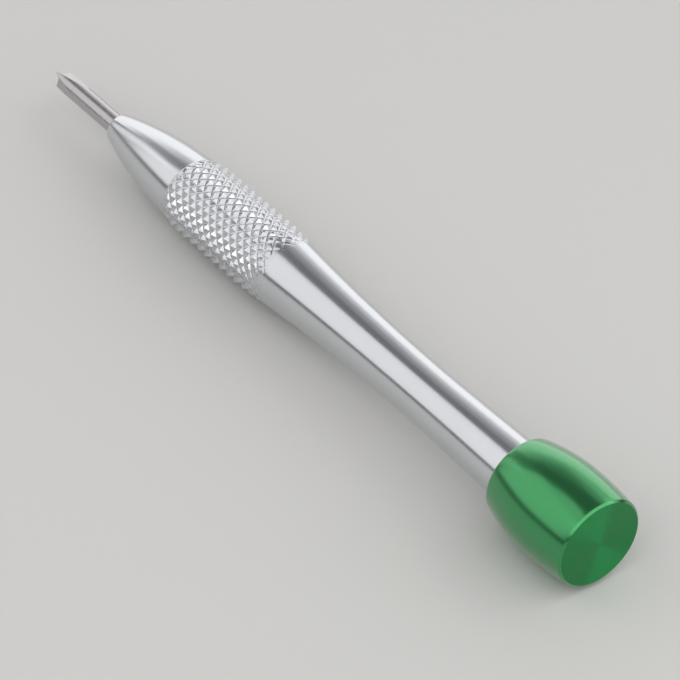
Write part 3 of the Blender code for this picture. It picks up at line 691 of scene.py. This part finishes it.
class SCREWDRIVER_OT_blade(bpy.types.Operator):
    """Turn the blade and grind the flutes that leave its wings"""
    bl_idname = "screwdriver.blade"
    bl_label = "Fluted blade"

    def wheel_path(self, sizes):
        """One flute's cutter: a rounded vee that rises in a straight line out of the rod."""
        rod, sector, lean = sizes.diameter / 2, math.pi / sizes.wings, math.tan(sizes.lean)
        root = (sizes.wing / 2 + rod * lean) / (math.sin(sector) + math.cos(sector) * lean)
        half_vee = sector + sizes.lean
        # The vee's arms reach well past the rod
        arm = Vector((math.cos(half_vee), math.sin(half_vee))) * 2 * sizes.diameter
        far = Vector((arm.x, -arm.y))
        section = [tuple(far)] + fillet(far, (0, 0), arm, sizes.flute_root) + [tuple(arm)]
        shape = bmesh.new()
        rings = []
        # The wheel starts before the tip's end and lifts off past the run-out
        for share in (-0.1, 1.2):
            depth = root + (rod - root) * share
            rings.append([shape.verts.new((depth + x, y, sizes.flute * share)) for x, y in section])
        low, high = rings
        for step in range(len(section)):
            after = (step + 1) % len(section)
            shape.faces.new((low[step], low[after], high[after], high[step]))
        shape.faces.new(reversed(low))
        shape.faces.new(high)
        bmesh.ops.recalc_face_normals(shape, faces=shape.faces[:])
        return shape

    def execute(self, context):
        sizes = context.scene.screwdriver_blade
        rod = sizes.diameter / 2
        profile = [(0, 0), (rod - sizes.edge, 0)]
        for step in range(TIP_STEPS + 1):
            profile.append((rod, sizes.edge + (HANDLE_FRONT - sizes.edge) * step / TIP_STEPS))
        flats = SHANK_END - sizes.flats_length
        flat = sizes.flats_across / 2

        def flatted(angle):
            """Radius of the shank, which has a flat on either side."""
            share = abs(math.cos(angle))
            return flat / share if rod * share > flat else rod

        profile += [(rod, flats), (flatted, flats + sizes.flats_ramp),
                    (flatted, SHANK_END), (0, SHANK_END)]
        blade = add_thing("fluted_blade", turn(profile, BLADE_STEPS))
        cutters = []
        for index in range(sizes.wings):
            cutter = add_thing("flute_cutter", self.wheel_path(sizes))
            cutter.data.transform(Matrix.Rotation(
                sizes.turn + (2 * index + 1) * math.pi / sizes.wings, 4, 'Z'))
            modifier = blade.modifiers.new("flute", 'BOOLEAN')
            modifier.operation = 'DIFFERENCE'
            modifier.object = cutter
            cutters.append(cutter)
        # Ground tool steel: a warm grey, bright and smooth, faintly clouded from place to place
        steel = grained_metal("ground_tool_steel", sizes.metal, roughness=0.25, spread=0.03,
                              grain=1.2 * MM, mark=0.0004 * MM)
        blade.data.materials.append(steel)
        settle(blade)
        for cutter in cutters:
            bpy.data.objects.remove(cutter, do_unlink=True)
        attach(blade, "handle")
        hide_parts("blade")
        return {'FINISHED'}


class SCREWDRIVER_OT_cap(bpy.types.Operator):
    """Turn the green barrel cap"""
    bl_idname = "screwdriver.cap"
    bl_label = "Swivel cap"

    def execute(self, context):
        sizes = context.scene.screwdriver_cap
        neck_end = CAP_FRONT + context.scene.screwdriver_handle.neck_in_cap
        belly = (sizes.belly / 2, CAP_FRONT + sizes.belly_at)
        rim = (sizes.end / 2, CAP_END - sizes.chamfer)
        front = (sizes.front / 2, CAP_FRONT)
        mouth = (sizes.opening / 2, CAP_FRONT)
        edge = (sizes.end / 2 - sizes.chamfer, CAP_END)
        rear_arc = list(reversed(crown(belly, rim, BARREL_STEPS)))
        front_arc = crown(belly, front, BARREL_STEPS)
        profile = [(edge[0] * ring / FACE_STEPS, CAP_END) for ring in range(FACE_STEPS)]
        # Roundings take the place of the arcs' outermost points
        profile += fillet(profile[-1], edge, rim, sizes.softening, EDGE_STEPS)
        profile += fillet(edge, rim, rear_arc[2], sizes.softening, EDGE_STEPS)
        profile += rear_arc[2:] + front_arc[1:-2]
        profile += fillet(front_arc[-3], front, mouth, sizes.lip)
        rear_seat = BEARING_REAR + sizes.seat_gap
        front_seat = neck_end + sizes.running_gap
        back = SCREW_TOP + sizes.head_room
        profile += [mouth, (sizes.opening / 2, front_seat), (sizes.seat / 2, front_seat),
                    (sizes.seat / 2, rear_seat), (sizes.shoulder / 2, rear_seat),
                    (sizes.shoulder / 2, back), (0, back)]
        cap = add_thing("barrel_cap", turn(profile, CAP_STEPS))
        # Dyed anodised aluminium: the metal's own shine seen through a clear green oxide
        dyed = turned_metal("green_anodised_aluminium", sizes.dye, roughness=0.24, spread=0.03,
                            feed=0.25 * MM, mark=0.001 * MM, anisotropy=0.5, coat=1.0)
        # The faced end: the same metal with rings round its middle, which fan the lights out
        faced = turned_metal("green_anodised_face", sizes.dye, roughness=0.5, spread=0.05,
                             feed=0.3 * MM, mark=0.003 * MM, anisotropy=0.9, coat=0.3)
        cap.data.materials.append(dyed)
        cap.data.materials.append(faced)
        for polygon in cap.data.polygons:
            polygon.material_index = int(polygon.center.z > CAP_END - FLUSH)
        settle(cap)
        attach(cap, "cap")
        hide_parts("swivel_cap")
        return {'FINISHED'}


class SCREWDRIVER_OT_bearing(bpy.types.Operator):
    """Set round balls in the bearing and finish the pieces inside the cap"""
    bl_idname = "screwdriver.bearing"
    bl_label = "Bearing and fasteners"

    def execute(self, context):
        sizes = context.scene.screwdriver_bearing
        # Lapped chrome steel: nearly a mirror
        lapped = grained_metal("lapped_ball_steel", sizes.steel, roughness=0.08, spread=0.02,
                               grain=0.2 * MM, mark=0.0002 * MM)
        row = add_thing("bearing_balls", bmesh.new())
        tree, places = ball_tree()
        add_tree(row, tree, places, {
            "Balls": sizes.balls, "Pitch Radius": sizes.pitch / 2, "Ball Radius": sizes.ball / 2,
            "Middle": (BEARING_FRONT + BEARING_REAR) / 2, "Finish": lapped})
        settle(row)
        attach(row, "cage")
        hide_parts(*["bearing_ball_%d" % (index + 1) for index in range(sizes.balls)])
        # Ground rings, dull pressed sheet, dark spring wire and bright zinc, each with a fine grain
        ground = grained_metal("ground_bearing_steel", sizes.steel, roughness=0.16, spread=0.03,
                               grain=0.15 * MM, mark=0.0005 * MM)
        sheet = grained_metal("pressed_sheet_steel", sizes.sheet, roughness=0.34, spread=0.06,
                              grain=0.2 * MM, mark=0.001 * MM)
        spring = grained_metal("spring_wire_steel", sizes.spring, roughness=0.32, spread=0.06,
                               grain=0.15 * MM, mark=0.001 * MM)
        zinc = grained_metal("bright_zinc_plate", sizes.zinc, roughness=0.24, spread=0.06,
                             grain=0.3 * MM, mark=0.001 * MM)
        dressed = {ground: ("bearing_inner_ring", "bearing_outer_ring"),
                   sheet: ("bearing_shield_front", "bearing_shield_rear", "bearing_cage_front",
                           "bearing_cage_rear"),
                   spring: ("shield_snap_ring_front", "shield_snap_ring_rear"),
                   zinc: ("retaining_washer", "retaining_screw")}
        for finish, nodes in dressed.items():
            for node in nodes:
                for slot in frame["nodes"][node].material_slots:
                    slot.material = finish
        return {'FINISHED'}


class SCREWDRIVER_OT_stage(bpy.types.Operator):
    """Lay the floor, hang the soft lights and place the camera"""
    bl_idname = "screwdriver.stage"
    bl_label = "Studio"

    def softbox(self, name, azimuth, elevation, distance, width, height, brightness):
        """A flat lamp that faces the tool. Azimuth turns from -X towards -Y."""
        turn_by, rise = math.radians(azimuth), math.radians(elevation)
        away = Vector((-math.cos(turn_by) * math.cos(rise), -math.sin(turn_by) * math.cos(rise),
                       math.sin(rise)))
        lamp = bpy.data.lights.new(name, 'AREA')
        lamp.shape = 'RECTANGLE'
        lamp.size = width
        lamp.size_y = height
        lamp.energy = brightness * math.pi * width * height
        holder = bpy.data.objects.new(name, lamp)
        holder.location = away * distance
        holder.rotation_euler = away.to_track_quat('Z', 'Y').to_euler()
        holder.visible_camera = False
        bpy.context.scene.collection.objects.link(holder)

    def execute(self, context):
        scene = context.scene
        sizes = scene.screwdriver_stage
        # Matt painted board: pale and even, with hardly any shine
        board, tree = new_finish("pale_board")
        paint = add_node(tree, "ShaderNodeBsdfPrincipled", inputs={
            "Base Color": sizes.floor, "Roughness": 0.8})
        add_node(tree, "ShaderNodeOutputMaterial", inputs={"Surface": paint})
        shape = bmesh.new()
        bmesh.ops.create_grid(shape, x_segments=1, y_segments=1, size=sizes.floor_reach)
        floor = add_thing("floor", shape)
        floor.data.materials.append(board)
        for *lamp, brightness in LAMPS:
            self.softbox(*lamp, brightness * sizes.softbox)
        room = bpy.data.worlds.new("studio_room")
        room.use_nodes = True
        room.node_tree.nodes["Background"].inputs["Color"].default_value = sizes.room
        scene.world = room
        scene.view_settings.view_transform = 'Standard'
        level = Vector((-math.sin(sizes.azimuth), math.cos(sizes.azimuth), 0.0))
        ahead = level * math.cos(sizes.elevation) - Vector((0, 0, math.sin(sizes.elevation)))
        side = Matrix.Rotation(-sizes.roll, 3, ahead) @ ahead.cross(Vector((0, 0, 1))).normalized()
        camera = bpy.data.cameras.new("camera")
        camera.lens = sizes.lens
        camera.clip_start = 0.01
        holder = bpy.data.objects.new("camera", camera)
        turned_to = Matrix((side, side.cross(ahead), -ahead)).transposed().to_4x4()
        stands_at = Matrix.Translation(Vector(sizes.aim) - ahead * sizes.distance)
        holder.matrix_world = stands_at @ turned_to
        scene.collection.objects.link(holder)
        scene.camera = holder
        return {'FINISHED'}


class SCREWDRIVER_PT_panel(bpy.types.Panel):
    """The screwdriver's sizes and what builds from them"""
    bl_label = "Screwdriver"
    bl_idname = "SCREWDRIVER_PT_panel"
    bl_space_type = 'VIEW_3D'
    bl_region_type = 'UI'
    bl_category = "Screwdriver"

    def draw(self, context):
        for operator, group in STEPS:
            box = self.layout.box()
            box.operator(operator)
            sizes = getattr(context.scene, group)
            for name in sizes.__annotations__:
                box.prop(sizes, name)


STEPS = (("screwdriver.handle", "screwdriver_handle"), ("screwdriver.blade", "screwdriver_blade"),
         ("screwdriver.cap", "screwdriver_cap"), ("screwdriver.bearing", "screwdriver_bearing"),
         ("screwdriver.stage", "screwdriver_stage"))
GROUPS = (HandleSizes, BladeSizes, CapSizes, BearingSizes, StageSizes)
CLASSES = GROUPS + (SCREWDRIVER_OT_handle, SCREWDRIVER_OT_blade, SCREWDRIVER_OT_cap,
                    SCREWDRIVER_OT_bearing, SCREWDRIVER_OT_stage, SCREWDRIVER_PT_panel)


def register():
    """Register the classes and hang the sizes on the scene."""
    for kind in CLASSES:
        bpy.utils.register_class(kind)
    for (_, group), kind in zip(STEPS, GROUPS):
        setattr(bpy.types.Scene, group, PointerProperty(type=kind))


def unregister():
    """Take the sizes and classes away again."""
    for _, group in STEPS:
        delattr(bpy.types.Scene, group)
    for kind in reversed(CLASSES):
        bpy.utils.unregister_class(kind)


def main():
    """Build every piece."""
    register()
    bpy.ops.screwdriver.handle()
    bpy.ops.screwdriver.blade()
    bpy.ops.screwdriver.cap()
    bpy.ops.screwdriver.bearing()
    bpy.ops.screwdriver.stage()


if __name__ == "__main__":
    main()
